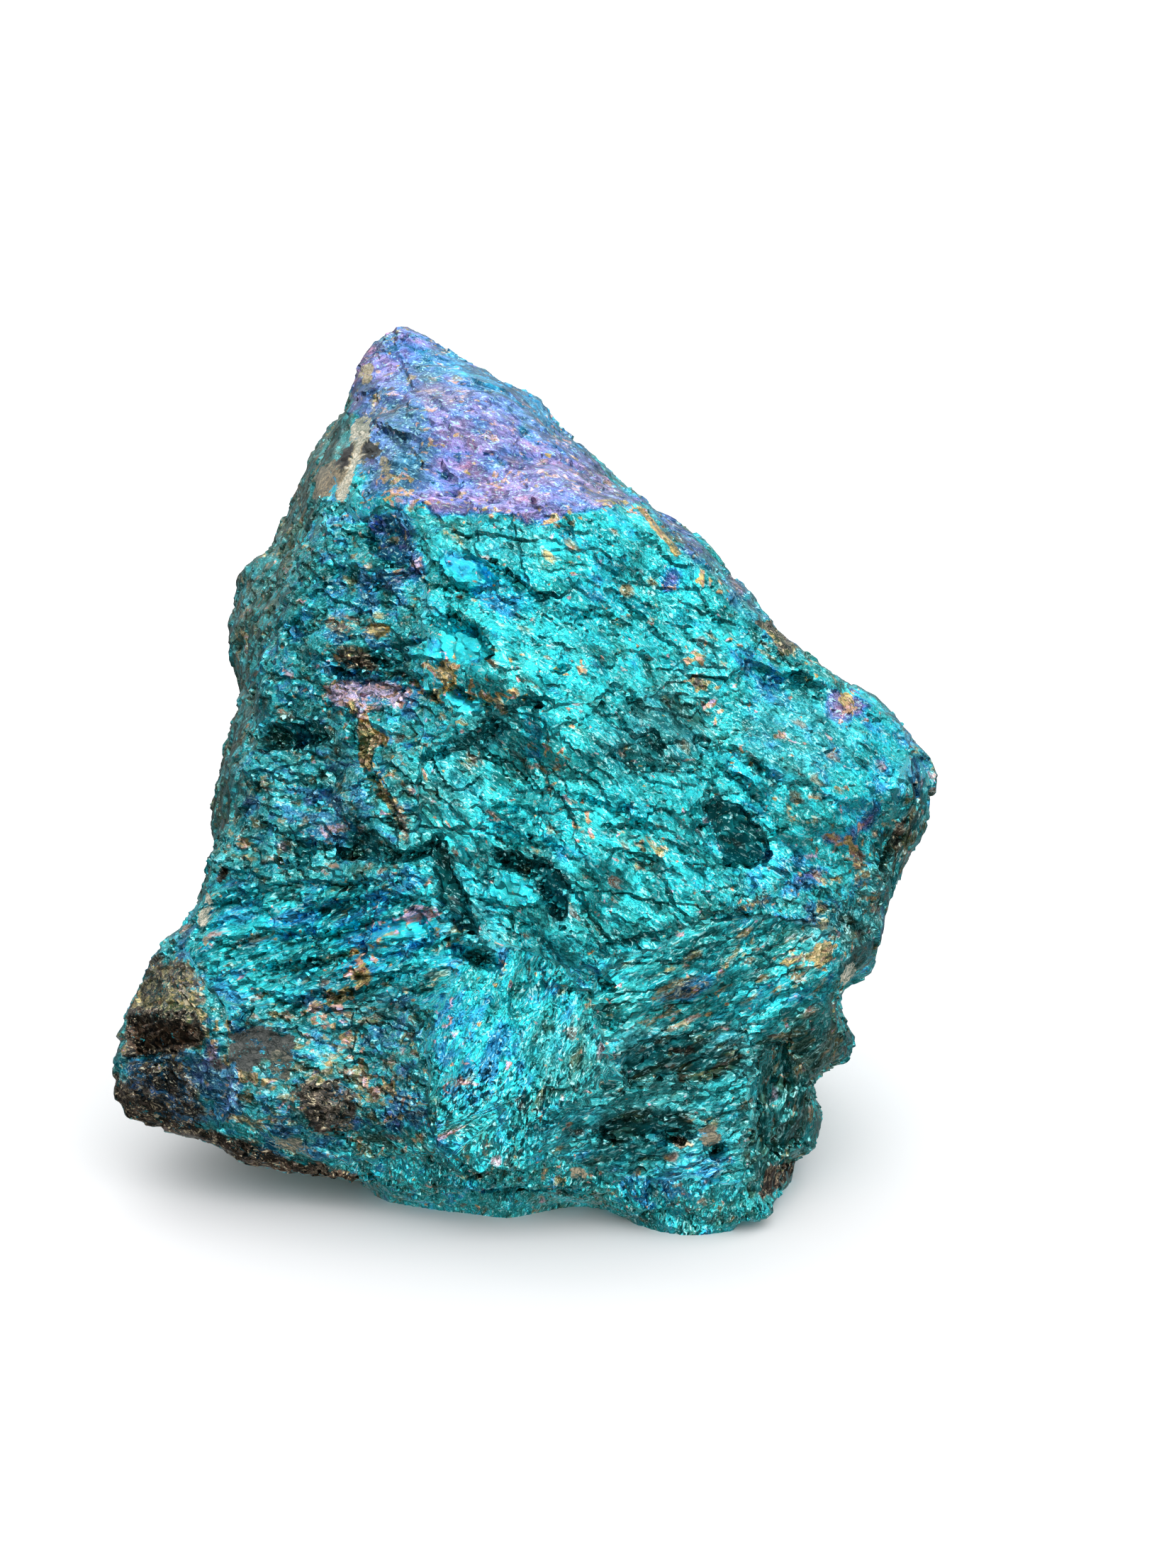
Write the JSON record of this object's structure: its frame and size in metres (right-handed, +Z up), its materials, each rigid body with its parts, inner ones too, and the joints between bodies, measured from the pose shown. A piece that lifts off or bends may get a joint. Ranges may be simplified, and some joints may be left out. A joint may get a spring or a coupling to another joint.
{
  "type": "peacock ore stone",
  "caption": "Broken lump of metallic copper ore with a blue-green and violet tarnish, a broad rough fracture face and a tilted cap; stands on a small flat spot.",
  "frame": {"origin": "middle of the underside of the bounding box, on the surface the stone stands on", "axes": "+Z up, +X across the broad fracture face to its right, -Y the way the fracture face looks"},
  "size_m": [0.0476, 0.0372, 0.0457],
  "materials": {
    "tarnished_ore": "crackled metallic tarnish, blue-green with violet, blue and gold patches"
  },
  "bodies": {
    "root": {"ore_lump": "tarnished_ore"}
  },
  "joints": []
}
